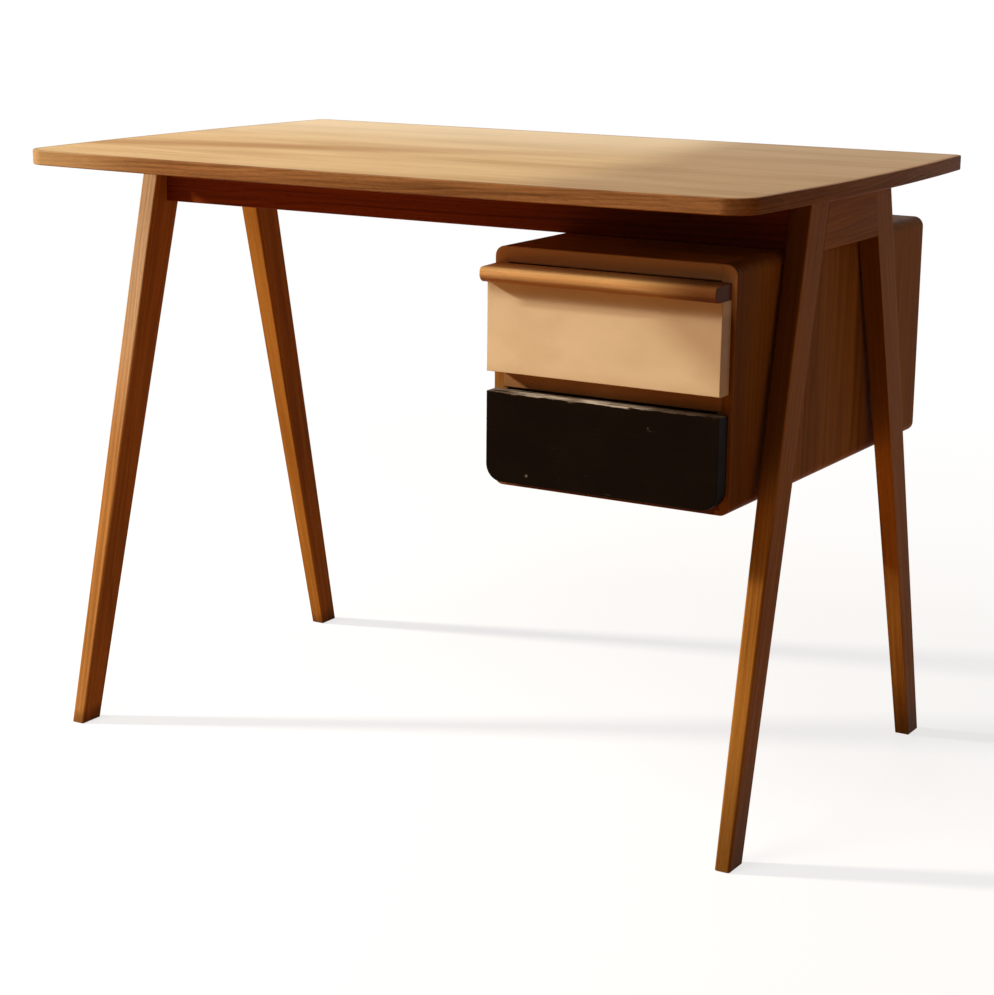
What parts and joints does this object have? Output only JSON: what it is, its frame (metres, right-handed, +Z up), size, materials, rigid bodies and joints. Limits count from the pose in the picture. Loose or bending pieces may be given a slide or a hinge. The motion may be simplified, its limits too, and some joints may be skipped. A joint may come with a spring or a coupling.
{
  "type": "writing desk",
  "caption": "Writing desk with a bowed wooden top on tapered A-frame legs and a drawer casing hung under the rails at one side, with a cream and a black drawer front.",
  "frame": {"origin": "on the floor, under the centre of the top", "axes": "+X to the sitter's right along the desk's width, +Y from the sitter to the back, +Z up"},
  "size_m": [1.004, 0.652, 0.75],
  "materials": {
    "top_veneer": "pale satin-lacquered wood with fine grain along the width",
    "frame_wood": "warm orange-brown oiled wood, grain along each member",
    "rail_wood": "dark red-brown stained wood",
    "casing_wood": "brown veneered board with vertical streaks",
    "handle_wood": "golden-brown polished wood",
    "drawer_wood": "pale planed wood, unvarnished",
    "runner_wood": "pale plain hardwood",
    "plywood": "thin pale plywood",
    "cream_paint": "cream painted board, satin",
    "black_paint": "black painted board, satin, worn along the upper face",
    "screw_steel": "plain steel wood screws"
  },
  "bodies": {
    "desk": {"tabletop": "top_veneer", "front_left_leg": "frame_wood", "rear_left_leg": "frame_wood", "front_right_leg": "frame_wood", "rear_right_leg": "frame_wood", "left_side_rail": "frame_wood", "right_side_rail": "frame_wood", "front_rail": "rail_wood", "rear_rail": "rail_wood", "front_left_corner_block": "rail_wood", "front_right_corner_block": "rail_wood", "rear_left_corner_block": "rail_wood", "rear_right_corner_block": "rail_wood", "tabletop_screws": "screw_steel", "casing_screws": "screw_steel", "casing_left_side": "casing_wood", "casing_right_side": "casing_wood", "casing_top": "casing_wood", "casing_bottom": "casing_wood", "casing_divider": "casing_wood", "casing_back": "plywood", "upper_left_runner": "runner_wood", "upper_right_runner": "runner_wood", "lower_left_runner": "runner_wood", "lower_right_runner": "runner_wood", "drawer_stops": "runner_wood"},
    "upper_drawer": {"upper_drawer_front": "cream_paint", "upper_drawer_handle": "handle_wood", "upper_drawer_left_side": "drawer_wood", "upper_drawer_right_side": "drawer_wood", "upper_drawer_back": "drawer_wood", "upper_drawer_bottom": "plywood"},
    "lower_drawer": {"lower_drawer_front": "black_paint", "lower_drawer_left_side": "drawer_wood", "lower_drawer_right_side": "drawer_wood", "lower_drawer_back": "drawer_wood", "lower_drawer_bottom": "plywood"}
  },
  "joints": [
    {"name": "upper_drawer_slide", "type": "slide", "parent": "desk", "child": "upper_drawer", "axis": [0, -1, 0], "range_m": [0, 0.36]},
    {"name": "lower_drawer_slide", "type": "slide", "parent": "desk", "child": "lower_drawer", "axis": [0, -1, 0], "range_m": [0, 0.36]}
  ]
}
